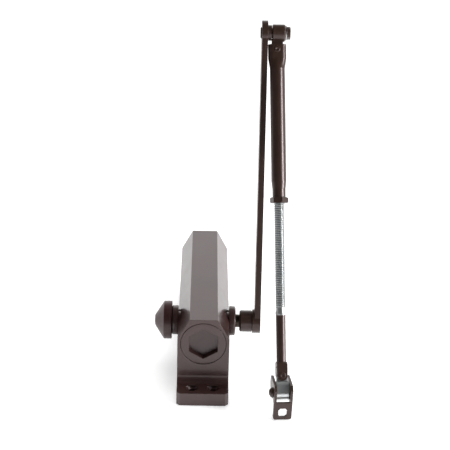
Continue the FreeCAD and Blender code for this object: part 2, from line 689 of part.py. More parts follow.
def forearm_tube():
    r = TUBE_D / 2.0
    thick = FLAT_GAP / 2.0 + TUBE_WALL
    half = FLAT_WIDTH / 2.0 - thick
    blend_end = -FLAT_END - FLAT_BLEND
    flat = Part.Face(obround(half, thick, -FLAT_END)).extrude(V(0, 0, FLAT_END + TUBE_TOP))
    blend = Part.makeLoft([obround(half, thick, -FLAT_END),
                           split_circle(r, half, thick, blend_end)], True, True)
    neck = NECK_D / 2.0
    z_neck = -TUBE_LENGTH + NECK_LENGTH
    z_taper = z_neck + NECK_TAPER
    stem = spin_z([(0, blend_end), (r, blend_end), (r, z_taper), (neck, z_neck),
                   (neck, -TUBE_LENGTH), (0, -TUBE_LENGTH)])
    bore = r - TUBE_WALL
    run = ROD_D / 2.0 + ROD_RUN_GAP
    hollow = spin_z([(0, blend_end + 1.0), (bore, blend_end + 1.0), (bore, z_taper), (run, z_neck),
                     (run, -TUBE_LENGTH - 1), (0, -TUBE_LENGTH - 1)])
    w = FLAT_POCKET_WIDTH / 2.0
    pocket = box(-w, w, -FLAT_GAP / 2.0, FLAT_GAP / 2.0, -TANG_TAIL - 2.0, TUBE_TOP + 1)
    shape = flat.fuse([blend, stem]).cut([hollow, pocket, cyl_y(RIVET_D / 2.0, -20, 20)])
    return placed(shape, tube_frame())


def rivet(half_grip, head_d, head):
    shape = cyl_y(RIVET_D / 2.0, -half_grip, half_grip)
    front = Part.makeCone(head_d / 2.0 - 0.5, head_d / 2.0, head, V(0, -half_grip - head, 0),
                          V(0, 1, 0))
    back = Part.makeCone(head_d / 2.0, head_d / 2.0 - 0.5, head, V(0, half_grip, 0), V(0, 1, 0))
    dimple = Part.makeCone(1.3, 0.6, 0.6, V(0, -half_grip - head, 0), V(0, 1, 0))
    return shape.fuse([front, back]).cut(dimple)


def tube_rivet():
    return placed(rivet(FLAT_GAP / 2.0 + TUBE_WALL, 5.4, 0.4), tube_frame())


def jam_nut():
    top = -TUBE_LENGTH - 0.1
    nut = hexagon(JAM_NUT_AF, V(0, 0, top), V(0, 0, -JAM_NUT), 10.0)
    rim = JAM_NUT_AF / math.sqrt(3.0)
    low = top - JAM_NUT
    shape = nut.common(spin_z([(0, top), (rim - 1.0, top), (rim, top - 0.7), (rim, low + 0.7),
                               (rim - 1.0, low), (0, low)]))
    shape = shape.cut(cyl_z(ROD_D / 2.0 + ROD_RUN_GAP, low - 1, top + 1))
    return placed(shape, tube_frame())


def threaded_rod():
    r = ROD_D / 2.0
    end = -ROD_THREAD_END
    groove = end - ROD_GROOVE
    low = groove - ROD_PLAIN
    spigot = low - ROD_SPIGOT
    shape = spin_z([(0, -ROD_TOP), (r - 1.0, -ROD_TOP), (r, -ROD_TOP - 1.0), (r, end),
                    (ROD_GROOVE_D / 2.0, end), (ROD_GROOVE_D / 2.0, groove),
                    (ROD_PLAIN_D / 2.0, groove), (ROD_PLAIN_D / 2.0, low),
                    (ROD_SPIGOT_D / 2.0, low), (ROD_SPIGOT_D / 2.0, spigot), (0, spigot)])
    return placed(shape, rod_frame())


def rod_end():
    low = -ROD_THREAD_END - ROD_GROOVE - ROD_PLAIN
    block_top = -FORK_TO_RIVET + FORK_ABOVE_RIVET
    w = FORK_WIDTH / 2.0
    t = FLAT_GAP / 2.0 + FORK_CHEEK
    shank = spin_z([(0, low), (ROD_END_D / 2.0, low), (ROD_END_D / 2.0, block_top - 1.0),
                    (0, block_top - 1.0)])
    block = box(-w, w, -t, t, -FORK_TO_RIVET, block_top)
    lug = cyl_y(w, -t, t, 0, -FORK_TO_RIVET)
    crown = Part.makeCone(FORK_WIDTH, ROD_END_D / 2.0, 9.0, V(0, 0, block_top - 7.0), V(0, 0, 1))
    block = block.common(crown.fuse(cyl_z(30, -400, block_top - 7.0)))
    slot = box(-20, 20, -FLAT_GAP / 2.0, FLAT_GAP / 2.0, -FORK_TO_RIVET - 20,
               -FORK_TO_RIVET + FORK_SLOT_ABOVE)
    socket = cyl_z(ROD_SPIGOT_D / 2.0, low - ROD_SPIGOT, low + 1)
    shape = shank.fuse([block, lug])
    return placed(shape.cut([slot, socket, cyl_y(RIVET_D / 2.0, -20, 20, 0, -FORK_TO_RIVET)]),
                  rod_frame())


def rod_rivet():
    grip = FLAT_GAP / 2.0 + FORK_CHEEK
    return placed(rivet(grip, RIVET_HEAD_D, RIVET_HEAD), rod_rivet_frame())


def shoe_knuckle():
    r = SHOE_KNUCKLE_D / 2.0
    h = SHOE_KNUCKLE_WIDTH / 2.0
    z = -RIVET_DROP
    barrel = spin_x([(-h, 0), (-h, r - 0.5), (0.5 - h, r), (h - 0.5, r), (h, r - 0.5), (h, 0)],
                    0, z)
    block = box(-h, h, -r, r, z, z + SHOE_BLOCK_TOP)
    blade, hole = tang(0, z + r - 2.0, TANG_TAIL, 0, SHOE_TANG_WIDTH)
    bore = cyl_x(SHOE_PIN_D / 2.0 + KNUCKLE_RUN_GAP, -h - 1, h + 1, 0, z)
    shape = barrel.fuse([block, blade]).cut([bore, hole])
    return placed(shape.removeSplitter(), rod_rivet_frame())


def shoe_pin():
    h = SHOE_KNUCKLE_WIDTH / 2.0 + SHOE_GAP + SHOE_PLATE
    r = SHOE_HEAD_D / 2.0
    profile = [(-h - SHOE_HEAD, 0), (-h - SHOE_HEAD, r - 2.2), (-h - SHOE_HEAD + 0.7, r - 0.9),
               (-h - SHOE_HEAD + 1.6, r), (-h, r), (-h, SHOE_PIN_D / 2.0), (h, SHOE_PIN_D / 2.0),
               (h, SHOE_PIN_D / 2.0 + 0.8), (h + SHOE_PEEN, SHOE_PIN_D / 2.0), (h + SHOE_PEEN, 0)]
    return placed(spin_x(profile, 0, 0), shoe_frame())


def shoe_ear(x0, x1):
    outline = [(-WEB_FRONT, -WEB_BOTTOM), (3.4 - WEB_FRONT, -WEB_BOTTOM),
               (3.8 - WEB_FRONT, -WEB_TOP - 2.0), (2.0, -WEB_TOP), (EAR_BACK - 2.0, -2.0),
               (EAR_BACK, 3.0), (EAR_BACK, EAR_TOP - 2.0), (EAR_BACK - 2.0, EAR_TOP),
               (3.5 - WEB_FRONT, EAR_TOP), (-WEB_FRONT, EAR_TOP - 3.5)]
    return prism([V(x0, y, z) for y, z in outline], V(x1 - x0, 0, 0))


def rounded_envelope(outer):
    """Block the bracket is cut from, with its two lower corners rounded."""
    block = box(-outer, outer, -40, 40, -WEB_BOTTOM, 40)
    low = [e for e in block.Edges
           if e.BoundBox.YLength > 60 and abs(e.BoundBox.ZMax + WEB_BOTTOM) < 0.001]
    return block.makeFillet(SHOE_CORNER, low)


def shoe_bracket():
    inner = SHOE_KNUCKLE_WIDTH / 2.0 + SHOE_GAP
    outer = inner + SHOE_PLATE
    web = box(-outer, outer, -WEB_FRONT, SHOE_PLATE - WEB_FRONT, -WEB_BOTTOM, -WEB_TOP)
    shape = web.fuse([shoe_ear(-outer, -inner), shoe_ear(inner, outer)])
    w, h, c = SHOE_HOLE_W / 2.0, SHOE_HOLE_H / 2.0, 1.6
    mid = -SHOE_HOLE_DROP
    ring = [(-w + c, mid - h), (w - c, mid - h), (w, mid - h + c), (w, mid + h - c),
            (w - c, mid + h), (-w + c, mid + h), (-w, mid + h - c), (-w, mid - h + c)]
    hole = prism([V(x, -WEB_FRONT - 1, z) for x, z in ring], V(0, SHOE_PLATE + 2, 0))
    shape = shape.cut([hole, cyl_x(SHOE_PIN_D / 2.0, -20, 20)])
    shape = shape.removeSplitter().common(rounded_envelope(outer))
    return placed(shape, shoe_frame())


def all_pieces():
    return {
        "body_casting": body_casting(),
        "near_plug": at_near_end(plug(NEAR_PLUG_LENGTH, NEAR_HEX_DEPTH)),
        "near_plug_seal": at_near_end(plug_seal(NEAR_PLUG_LENGTH)),
        "far_plug": at_far_end(plug(FAR_PLUG_LENGTH, FAR_HEX_DEPTH)),
        "far_plug_seal": at_far_end(plug_seal(FAR_PLUG_LENGTH)),
        "right_bearing_housing": bearing_housing(False),
        "left_bearing_housing": mirror_x(bearing_housing(True)),
        "pinion_bush": pinion_bush(),
        "shaft_seal": shaft_seal(),
        "pinion_cap": pinion_cap(),
        "pinion": pinion(),
        "piston": piston(),
        "piston_ring": piston_ring(),
        "check_ball": check_ball(),
        "check_retainer": check_retainer(),
        "outer_spring": spring(OUTER_SPRING_D, OUTER_WIRE_D, OUTER_TURNS),
        "inner_spring": spring(INNER_SPRING_D, INNER_WIRE_D, INNER_TURNS),
        "sweep_valve": valve(-1),
        "sweep_valve_seal": valve_seal(-1),
        "latch_valve": valve(1),
        "latch_valve_seal": valve_seal(1),
        "main_arm": main_arm(),
        "arm_washer": arm_washer(),
        "arm_screw": arm_screw(),
        "elbow_stud": elbow_stud(),
        "elbow_washer": elbow_washer(),
        "elbow_screw": elbow_screw(),
        "elbow_knuckle": elbow_knuckle(),
        "forearm_tube": forearm_tube(),
        "tube_rivet": tube_rivet(),
        "jam_nut": jam_nut(),
        "threaded_rod": threaded_rod(),
        "rod_end": rod_end(),
        "rod_rivet": rod_rivet(),
        "shoe_knuckle": shoe_knuckle(),
        "shoe_pin": shoe_pin(),
        "shoe_bracket": shoe_bracket(),
    }


os.makedirs("parts", exist_ok=True)
for name, shape in all_pieces().items():
    shape.exportStep("parts/" + name + ".step")
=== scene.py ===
"""Surface door closer: rack-and-pinion body, main arm, telescopic forearm and frame shoe."""
import math

import bpy
from mathutils import Matrix, Vector


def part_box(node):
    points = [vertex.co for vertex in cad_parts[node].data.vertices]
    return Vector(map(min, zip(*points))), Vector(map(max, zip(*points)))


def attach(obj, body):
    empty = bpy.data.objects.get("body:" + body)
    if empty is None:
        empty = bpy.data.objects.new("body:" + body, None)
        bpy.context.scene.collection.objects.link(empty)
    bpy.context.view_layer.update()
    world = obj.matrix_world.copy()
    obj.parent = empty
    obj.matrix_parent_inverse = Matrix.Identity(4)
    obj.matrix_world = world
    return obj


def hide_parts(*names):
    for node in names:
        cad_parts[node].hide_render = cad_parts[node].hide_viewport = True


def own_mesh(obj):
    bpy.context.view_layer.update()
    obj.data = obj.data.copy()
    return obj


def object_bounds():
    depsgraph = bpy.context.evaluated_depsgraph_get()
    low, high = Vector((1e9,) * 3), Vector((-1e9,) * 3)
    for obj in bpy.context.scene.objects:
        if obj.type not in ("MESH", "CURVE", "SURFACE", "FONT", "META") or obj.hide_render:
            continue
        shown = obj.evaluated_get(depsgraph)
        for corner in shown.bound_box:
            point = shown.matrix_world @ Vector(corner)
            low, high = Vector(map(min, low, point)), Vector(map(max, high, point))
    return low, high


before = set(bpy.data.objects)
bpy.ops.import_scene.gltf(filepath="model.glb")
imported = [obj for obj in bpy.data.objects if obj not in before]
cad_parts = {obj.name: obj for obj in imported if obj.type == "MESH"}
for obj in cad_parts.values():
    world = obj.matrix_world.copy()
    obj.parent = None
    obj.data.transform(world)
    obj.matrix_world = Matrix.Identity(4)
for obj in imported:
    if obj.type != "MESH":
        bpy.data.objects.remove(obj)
cad_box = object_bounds()
bpy.ops.object.select_all(action="DESELECT")


# ---------------------------------------------------------------- body casting
# One aluminium casting, bored for the piston, the pinion and the two valves. It
# is sprayed dark bronze all over: a satin coat with a fine orange peel, and a
# painted highlight along its edges, lighter in patches.

class Signal:
    """A socket in a finish. Sums written on it add the Math nodes."""

    def __init__(self, socket):
        self.socket = socket
        self.tree = socket.id_data

    def node(self, kind, settings=None, values=None, out=0):
        """Output of a new node, whose settings are made before its sockets are filled."""
        made = self.tree.nodes.new("ShaderNode" + kind)
        for name, value in (settings or {}).items():
            setattr(made, name, value)
        for name, value in (values or {}).items():
            if isinstance(value, Signal):
                self.tree.links.new(value.socket, made.inputs[name])
            else:
                made.inputs[name].default_value = value
        return Signal(made.outputs[out])

    def math(self, operation, first, second):
        return self.node("Math", {"operation": operation}, {0: first, 1: second})

    def __add__(self, other):
        return self.math("ADD", self, other)

    __radd__ = __add__

    def __sub__(self, other):
        return self.math("SUBTRACT", self, other)

    def __rsub__(self, other):
        return self.math("SUBTRACT", other, self)

    def __mul__(self, other):
        return self.math("MULTIPLY", self, other)

    __rmul__ = __mul__

    def capped(self):
        """The same signal, kept between 0 and 1."""
        return self.node("Clamp", None, {"Value": self})

    def grain(self, size, detail=3.0, roughness=0.5):
        """Even noise whose patches are about size metres across."""
        values = {"Vector": self, "Scale": 1.0 / size, "Detail": detail, "Roughness": roughness}
        return self.node("TexNoise", None, values)

    def blend(self, first, second):
        """Colour that goes from first to second as this mask goes from 0 to 1."""
        # A colour Mix node keeps its two colours in sockets 6 and 7, and gives output 2.
        values = {0: self, 6: first, 7: second}
        return self.node("Mix", {"data_type": "RGBA"}, values, out=2)

    def edges(self, radius, gain=5.0):
        """Normal rounded over radius, and a mask of where it leaves the flat one."""
        soft = self.node("Bevel", {"samples": 4}, {"Radius": radius})
        flat = self.node("NewGeometry", None, None, "Normal")
        along = self.node("VectorMath", {"operation": "DOT_PRODUCT"}, {0: soft, 1: flat}, "Value")
        return soft, ((1.0 - along) * gain).capped()

    def relief(self, depth, strength=1.0, base=None):
        """Normal for this height, whose full range is depth metres."""
        values = {"Height": self, "Distance": depth, "Strength": strength}
        if base is not None:
            values["Normal"] = base
        return self.node("Bump", None, values)

    def feed(self, shader, name):
        self.tree.links.new(self.socket, shader.inputs[name])


def start_finish(name, coat=0.0, coat_roughness=0.1, ior=1.5):
    """A new finish, its shader, and the place on the piece that its patterns read."""
    material = bpy.data.materials.new(name)
    material.use_nodes = True
    tree = material.node_tree
    shader = tree.nodes["Principled BSDF"]
    shader.inputs["Coat Weight"].default_value = coat
    shader.inputs["Coat Roughness"].default_value = coat_roughness
    shader.inputs["IOR"].default_value = ior
    return material, shader, Signal(tree.nodes.new("ShaderNodeTexCoord").outputs["Object"])


# Patch sizes for the paint's cloud, its fleck, and the painted highlight along edges.
PAINT_CLOUD, PAINT_FLECK, EDGE_GLINT_PATCH = 0.018, 0.00022, 0.004
ROSY_SHINE = (1.0, 0.84, 0.85, 1)
# Lighter colour of the painted highlight along edges.
EDGE_GLINT_TONE = (0.075, 0.052, 0.040, 1)


def bronze_paint(name, deep, pale, peel, peel_depth, gloss, edge, coat=0.35):
    """Sprayed bronze: two close tones, orange peel, and a painted highlight along the edges."""
    material, shader, place = start_finish(name, coat=coat, coat_roughness=0.13,
                                           ior=1.5 + coat / 7.0)
    shader.inputs["Specular Tint"].default_value = ROSY_SHINE
    cloud = place.grain(PAINT_CLOUD, detail=4.0, roughness=0.6)
    fleck = place.grain(PAINT_FLECK, detail=2.0)
    soft, rim_mask = place.edges(edge)
    # Edges, in patches, take a lighter colour: a painted highlight, which also makes them a little
    # rougher.
    edge_glint = (rim_mask * (place.grain(EDGE_GLINT_PATCH, detail=4.0) * 1.6 - 0.25)).capped()
    tone = (cloud * 0.75 + fleck * 0.35).blend(deep, pale)
    edge_glint.blend(tone, EDGE_GLINT_TONE).feed(shader, "Base Color")
    (gloss + cloud * 0.10 + fleck * 0.05 + edge_glint * 0.10).feed(shader, "Roughness")
    skin = place.grain(peel, detail=2.0) + place.grain(peel * 5.0, detail=2.0) * 1.5
    skin.relief(peel_depth, strength=0.6, base=soft).feed(shader, "Normal")
    return material


def dress(finish, *nodes):
    """Puts a finish on CAD nodes."""
    for node in nodes:
        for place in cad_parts[node].material_slots:
            place.material = finish


casting_paint = bronze_paint("casting_paint", deep=(0.0200, 0.0092, 0.0080, 1),
                             pale=(0.044, 0.0215, 0.0190, 1), peel=0.0011,
                             peel_depth=0.000030, gloss=0.27, edge=0.0007)
dress(casting_paint, "body_casting")


# ---------------------------------------------------------------- end plugs
# Two steel plugs close the bore. Each is screwed home against a rubber ring with
# a hexagon key, and is painted with the body.

plug_paint = bronze_paint("plug_paint", deep=(0.0190, 0.0088, 0.0076, 1),
                          pale=(0.040, 0.0200, 0.0175, 1), peel=0.0009,
                          peel_depth=0.000020, gloss=0.28, edge=0.0005)
BORE_Z, BODY_END = 0.051, 0.099
PLUG_R, FRONT_R = 0.02068, 0.02025
HEX_FLATS, RIM_SIDES = 0.0258, 96
FRONT_DEEP, GROOVE_TOP, GROOVE_LOW, GROOVE_R = 0.0013, 0.0055, 0.0075, 0.01918
NEAR_HEX_DEEP, NEAR_PLUG_LONG = 0.007, 0.0149
FAR_HEX_DEEP, FAR_PLUG_LONG = 0.008, 0.0129
CREASE, SMOOTH_BELOW = math.radians(35), math.radians(32)


def settle(piece, place, finish, edge=0.0):
    """Puts a piece drawn about the origin in its place, with its edges softened by edge."""
    bpy.ops.object.mode_set(mode="OBJECT")
    piece.matrix_world = place
    bpy.ops.object.transform_apply(location=True, rotation=True, scale=True)
    if edge:
        rounding = piece.modifiers.new("soft_edges", "BEVEL")
        rounding.width, rounding.segments = edge, 3
        rounding.limit_method, rounding.angle_limit = "ANGLE", CREASE
        bpy.ops.object.modifier_apply(modifier=rounding.name)
    bpy.ops.object.shade_smooth_by_angle(angle=SMOOTH_BELOW)
    piece.data.materials.append(finish)
    bpy.ops.object.select_all(action="DESELECT")


def end_plug(name, place, hex_deep, long):
    """Front face at height 0 and the plug below it, with a hexagon recess hex_deep metres down."""
    bpy.ops.mesh.primitive_circle_add(vertices=6, radius=HEX_FLATS / math.sqrt(3.0),
                                      enter_editmode=True)
    piece = bpy.context.object
    piece.name = piece.data.name = name
    bpy.ops.mesh.subdivide(number_cuts=RIM_SIDES // 6 - 1)
    bpy.ops.mesh.extrude_region_move(TRANSFORM_OT_translate={"value": (0, 0, -hex_deep)})
    bpy.ops.mesh.edge_face_add()
    bpy.ops.mesh.select_all(action="DESELECT")
    bpy.ops.mesh.primitive_circle_add(vertices=RIM_SIDES, radius=FRONT_R)
    radius, depth = FRONT_R, 0.0
    for wider, deeper in ((FRONT_R, FRONT_DEEP), (PLUG_R, FRONT_DEEP), (PLUG_R, GROOVE_TOP),
                          (GROOVE_R, GROOVE_TOP), (GROOVE_R, GROOVE_LOW), (PLUG_R, GROOVE_LOW),
                          (PLUG_R, long)):
        drop = (0, 0, depth - deeper)
        bpy.ops.mesh.extrude_region_move(TRANSFORM_OT_translate={"value": drop})
        size = wider / radius
        bpy.ops.transform.resize(value=(size, size, 1.0), center_override=(0, 0, 0))
        radius, depth = wider, deeper
    bpy.ops.mesh.edge_face_add()
    bpy.ops.mesh.select_mode(type="EDGE")
    bpy.ops.mesh.select_all(action="DESELECT")
    bpy.ops.object.mode_set(mode="OBJECT")
    for rim in piece.data.edges:
        ends = [piece.data.vertices[end].co for end in rim.vertices]
        rim.select = all(abs(end.z) < 1e-6 for end in ends)
    bpy.ops.object.mode_set(mode="EDIT")
    bpy.ops.mesh.fill(use_beauty=True)
    bpy.ops.mesh.select_all(action="SELECT")
    bpy.ops.mesh.normals_make_consistent(inside=False)
    settle(piece, place, plug_paint, edge=0.00025)
    return piece


near_end = Matrix.Translation((0, -BODY_END, BORE_Z)) @ Matrix.Rotation(math.radians(90), 4, "X")
far_end = Matrix.Translation((0, BODY_END, BORE_Z)) @ Matrix.Rotation(math.radians(-90), 4, "X")
for name, place, hex_deep, long in (("near_plug", near_end, NEAR_HEX_DEEP, NEAR_PLUG_LONG),
                                    ("far_plug", far_end, FAR_HEX_DEEP, FAR_PLUG_LONG)):
    plug = end_plug(name + "_turned", place, hex_deep, long)
    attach(plug, "closer")
    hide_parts(name)


def seal_rubber():
    """Dull black rubber with a grey bloom."""
    material, shader, place = start_finish("seal_rubber")
    bloom = place.grain(0.0012, detail=4.0)
    bloom.blend((0.008, 0.008, 0.008, 1), (0.026, 0.026, 0.027, 1)).feed(shader, "Base Color")
    (0.55 + bloom * 0.25).feed(shader, "Roughness")
    place.grain(0.0003).relief(0.00002).feed(shader, "Normal")
    return material


rubber = seal_rubber()
dress(rubber, "near_plug_seal", "far_plug_seal", "shaft_seal", "sweep_valve_seal",
      "latch_valve_seal")


# ---------------------------------------------------------------- bearing housings
# A turned steel housing is pressed into each side of the body and carries a
# bronze bush and a lip seal for the pinion.

PINION_Y = -0.053
HOUSING_FACE, HOUSING_BACK, HOUSING_R = 0.0292, 0.0233, 0.0135
SEAL_POCKET_R, SEAL_POCKET_END = 0.00905, 0.0262
SPIGOT_R, SPIGOT_END, BUSH_R = 0.00795, 0.0150, 0.00705
WELD = 0.000002


def draw_outline(name, points):
    """Line through (radius, height) points, in edit mode."""
    bpy.ops.mesh.primitive_plane_add(size=0.001, location=(0, 0, 0), enter_editmode=True)
    bpy.ops.mesh.select_mode(type="VERT")
    bpy.ops.mesh.select_all(action="SELECT")
    bpy.ops.mesh.merge(type="CENTER")
    start = Vector((points[0][0], 0, points[0][1]))
    bpy.ops.transform.translate(value=start)
    for radius, height in points[1:]:
        end = Vector((radius, 0, height))
        bpy.ops.mesh.extrude_region_move(TRANSFORM_OT_translate={"value": end - start})
        start = end
    piece = bpy.context.object
    piece.name = piece.data.name = name
    return piece


def turned(name, outline, place, finish, steps=72):
    """A lathe-turned piece: the outline spun about its local height."""
    piece = draw_outline(name, outline)
    bpy.ops.mesh.select_all(action="SELECT")
    bpy.ops.mesh.spin(steps=steps, angle=2.0 * math.pi, center=(0, 0, 0), axis=(0, 0, 1))
    bpy.ops.mesh.select_all(action="SELECT")
    bpy.ops.mesh.remove_doubles(threshold=WELD)
    bpy.ops.mesh.dissolve_degenerate(threshold=WELD)
    bpy.ops.mesh.select_all(action="SELECT")
    bpy.ops.mesh.normals_make_consistent(inside=False)
    settle(piece, place, finish)
    return piece


pinion_middle = Matrix.Translation((0, PINION_Y, BORE_Z))
right_side = pinion_middle @ Matrix.Rotation(math.radians(90), 4, "Y")
left_side = pinion_middle @ Matrix.Rotation(math.radians(-90), 4, "Y")
collar_outline = [(SEAL_POCKET_R, SEAL_POCKET_END), (SEAL_POCKET_R, HOUSING_FACE - 0.0004),
                  (SEAL_POCKET_R + 0.00045, HOUSING_FACE), (HOUSING_R - 0.0012, HOUSING_FACE),
                  (HOUSING_R, HOUSING_FACE - 0.0009), (HOUSING_R, HOUSING_BACK + 0.0007),
                  (HOUSING_R - 0.0004, HOUSING_BACK), (SPIGOT_R, HOUSING_BACK),
                  (SPIGOT_R, SPIGOT_END), (BUSH_R, SPIGOT_END), (BUSH_R, SEAL_POCKET_END),
                  (SEAL_POCKET_R, SEAL_POCKET_END)]
for name, place in (("right_bearing_housing", right_side), ("left_bearing_housing", left_side)):
    collar = turned(name + "_turned", collar_outline, place, plug_paint)
    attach(collar, "closer")
    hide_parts(name)


def bearing_bronze():
    """Bare sintered bronze, stained by oil."""
    material, shader, place = start_finish("bearing_bronze")
    shader.inputs["Metallic"].default_value = 1.0
    stain = place.grain(0.002, detail=4.0)
    stain.blend((0.42, 0.25, 0.10, 1), (0.62, 0.42, 0.20, 1)).feed(shader, "Base Color")
    (0.28 + stain * 0.2).feed(shader, "Roughness")
    return material


dress(bearing_bronze(), "pinion_bush", "check_retainer")


# ---------------------------------------------------------------- pinion and piston
# Phosphated steel pinion, the bright rack piston that it drives, its ring and
# check ball, which all run in oil, and the two valves screwed into the far end.

def bright_steel(name, dark, light, rough):
    """Machined steel: fine tool marks, a little cloudy."""
    material, shader, place = start_finish(name)
    shader.inputs["Metallic"].default_value = 1.0
    cloud = place.grain(0.003, detail=5.0, roughness=0.6)
    mark = place.grain(0.0002, detail=2.0)
    (cloud * 0.8 + mark * 0.3).blend(dark, light).feed(shader, "Base Color")
    (rough + cloud * 0.12 + mark * 0.08).feed(shader, "Roughness")
    mark.relief(0.000006).feed(shader, "Normal")
    return material


machined_steel = bright_steel("machined_steel", dark=(0.36, 0.355, 0.35, 1),
                              light=(0.56, 0.55, 0.54, 1), rough=0.24)
dress(machined_steel, "piston", "piston_ring", "check_ball", "sweep_valve", "latch_valve")
phosphate = bright_steel("oiled_phosphate", dark=(0.035, 0.027, 0.022, 1),
                         light=(0.085, 0.068, 0.056, 1), rough=0.34)
dress(phosphate, "pinion")


# ---------------------------------------------------------------- closing springs
# Two springs of oil-tempered wire, one inside the other, push the piston home.
# They are coiled to the room between the piston and the far plug.

spring_wire = bright_steel("spring_wire", dark=(0.09, 0.085, 0.08, 1),
                           light=(0.20, 0.19, 0.18, 1), rough=0.36)


def wind(piece, pitch, turns, steps):
    """Sweeps a piece's outline round the height, climbing by pitch in each turn."""
    winding = piece.modifiers.new("winding", "SCREW")
    winding.axis, winding.angle, winding.screw_offset = "Z", 2.0 * math.pi, pitch
    winding.steps = winding.render_steps = steps
    winding.iterations = turns
    bpy.ops.object.modifier_apply(modifier=winding.name)
    bpy.ops.object.mode_set(mode="EDIT")
    bpy.ops.mesh.select_all(action="SELECT")
    bpy.ops.mesh.remove_doubles(threshold=WELD)


def closing_spring(name, node, wire, turns):
    """Coil as long as its CAD node."""
    low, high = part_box(node)
    long = high.y - low.y
    mean_r = (high.x - low.x - wire) / 2.0
    bpy.ops.mesh.primitive_circle_add(vertices=14, radius=wire / 2.0, location=(mean_r, 0, 0),
                                      rotation=(math.radians(90), 0, 0))
    coil = bpy.context.object
    coil.name = coil.data.name = name
    bpy.ops.object.transform_apply(location=True, rotation=True, scale=True)
    wind(coil, (long - wire) / turns, turns, steps=32)
    bpy.ops.mesh.fill_holes(sides=20)
    bpy.ops.mesh.select_all(action="SELECT")
    bpy.ops.mesh.normals_make_consistent(inside=False)
    seat = Matrix.Translation((0, low.y + wire / 2.0, BORE_Z))
    settle(coil, seat @ Matrix.Rotation(math.radians(-90), 4, "X"), spring_wire)
    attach(coil, "closer")
    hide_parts(node)
    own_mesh(coil)


closing_spring("outer_spring_wound", "outer_spring", wire=0.005, turns=11)
closing_spring("inner_spring_wound", "inner_spring", wire=0.003, turns=17)


# ---------------------------------------------------------------- pinion cap
# A cone moulded in bronze-coloured plastic. It is hollow behind, and clips over
# the unused end of the pinion.

cap_gloss = bronze_paint("cap_plastic", deep=(0.0260, 0.0100, 0.0095, 1),
                         pale=(0.044, 0.0175, 0.0170, 1), peel=0.0016,
                         peel_depth=0.000012, gloss=0.30, edge=0.0005, coat=0.06)
CAP_R, CAP_BACK, CONE_BASE, CONE_TIP = 0.0175, 0.0293, 0.0369, 0.0450
CAP_HOLLOW_R, CAP_HOLLOW_END = 0.0114, 0.0386
cap_outline = [(0.0, CAP_HOLLOW_END), (CAP_HOLLOW_R, CAP_HOLLOW_END), (CAP_HOLLOW_R, CAP_BACK),
               (CAP_R - 0.0004, CAP_BACK), (CAP_R, CAP_BACK + 0.0004),
               (CAP_R, CONE_BASE - 0.0008), (CAP_R - 0.0002, CONE_BASE - 0.0003),
               (CAP_R - 0.0007, CONE_BASE), (0.0062, CONE_TIP - 0.0012),
               (0.0050, CONE_TIP - 0.0005), (0.0040, CONE_TIP - 0.00015),
               (0.0020, CONE_TIP), (0.0, CONE_TIP)]
cap = turned("pinion_cap_moulded", cap_outline, left_side, cap_gloss, steps=96)
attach(cap, "closer")
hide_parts("pinion_cap")


# ---------------------------------------------------------------- main arm
# A steel bar forged to a hub that sits on the pinion's square, held by a washer
# and a screw, and painted bronze.

arm_paint = bronze_paint("arm_paint", deep=(0.0155, 0.0078, 0.0055, 1),
                         pale=(0.031, 0.0165, 0.0115, 1), peel=0.0008,
                         peel_depth=0.000018, gloss=0.25, edge=0.0005, coat=0.12)
dress(arm_paint, "main_arm")
plated_screw = bright_steel("zinc_screw", dark=(0.40, 0.40, 0.40, 1),
                            light=(0.62, 0.62, 0.61, 1), rough=0.22)
dress(plated_screw, "arm_washer", "arm_screw")


# ---------------------------------------------------------------- elbow
# A shouldered stud is riveted through the arm. The forearm's knuckle turns on it
# and a washer and a hexagon-headed screw keep it on.

dress(arm_paint, "elbow_stud", "elbow_knuckle", "tube_rivet")
dress(plated_screw, "elbow_washer")
ELBOW = Vector((0, 0.010867, 0.307158))
HEX_HEAD_FLATS, HEX_HEAD_BASE, HEX_HEAD_TALL = 0.010, 0.0689, 0.0034
HEX_HEAD_TURN, HEX_HEAD_CORNER = math.radians(20), 0.0011
SHANK_INSET, SHANK_LONG = 0.0021, 0.0094


def pick(piece, wanted):
    """Selects, in edit mode, only the vertices whose place passes the test."""
    bpy.ops.mesh.select_mode(type="VERT")
    bpy.ops.mesh.select_all(action="DESELECT")
    bpy.ops.object.mode_set(mode="OBJECT")
    for corner in piece.data.vertices:
        corner.select = wanted(corner.co)
    bpy.ops.object.mode_set(mode="EDIT")


def outer_end(spot):
    return spot.z > HEX_HEAD_TALL - 0.00001


def inner_end(spot):
    return spot.z < 0.00001


bpy.ops.mesh.primitive_cylinder_add(vertices=6, radius=HEX_HEAD_FLATS / math.sqrt(3.0),
                                    depth=HEX_HEAD_TALL, location=(0, 0, HEX_HEAD_TALL / 2.0),
                                    rotation=(0, 0, HEX_HEAD_TURN))
hex_screw = bpy.context.object
hex_screw.name = hex_screw.data.name = "elbow_screw_forged"
bpy.ops.object.transform_apply(location=True, rotation=True, scale=True)
bpy.ops.object.mode_set(mode="EDIT")
pick(hex_screw, outer_end)
bpy.ops.mesh.bevel(affect="VERTICES", offset=HEX_HEAD_CORNER, segments=2, offset_type="OFFSET")
pick(hex_screw, inner_end)
bpy.ops.mesh.inset(thickness=SHANK_INSET)
bpy.ops.mesh.extrude_region_move(TRANSFORM_OT_translate={"value": (0, 0, -SHANK_LONG)})
bpy.ops.mesh.select_all(action="SELECT")
bpy.ops.mesh.normals_make_consistent(inside=False)
elbow_axis = (Matrix.Translation(ELBOW + Vector((HEX_HEAD_BASE, 0, 0)))
              @ Matrix.Rotation(math.radians(90), 4, "Y"))
settle(hex_screw, elbow_axis, arm_paint, edge=0.00018)
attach(hex_screw, "drive")
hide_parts("elbow_screw")


# ---------------------------------------------------------------- forearm
# Drawn steel tube, flattened at the elbow and necked at its lower end, where a
# jam nut locks the zinc-plated rod that screws into it.

dress(arm_paint, "forearm_tube", "jam_nut")


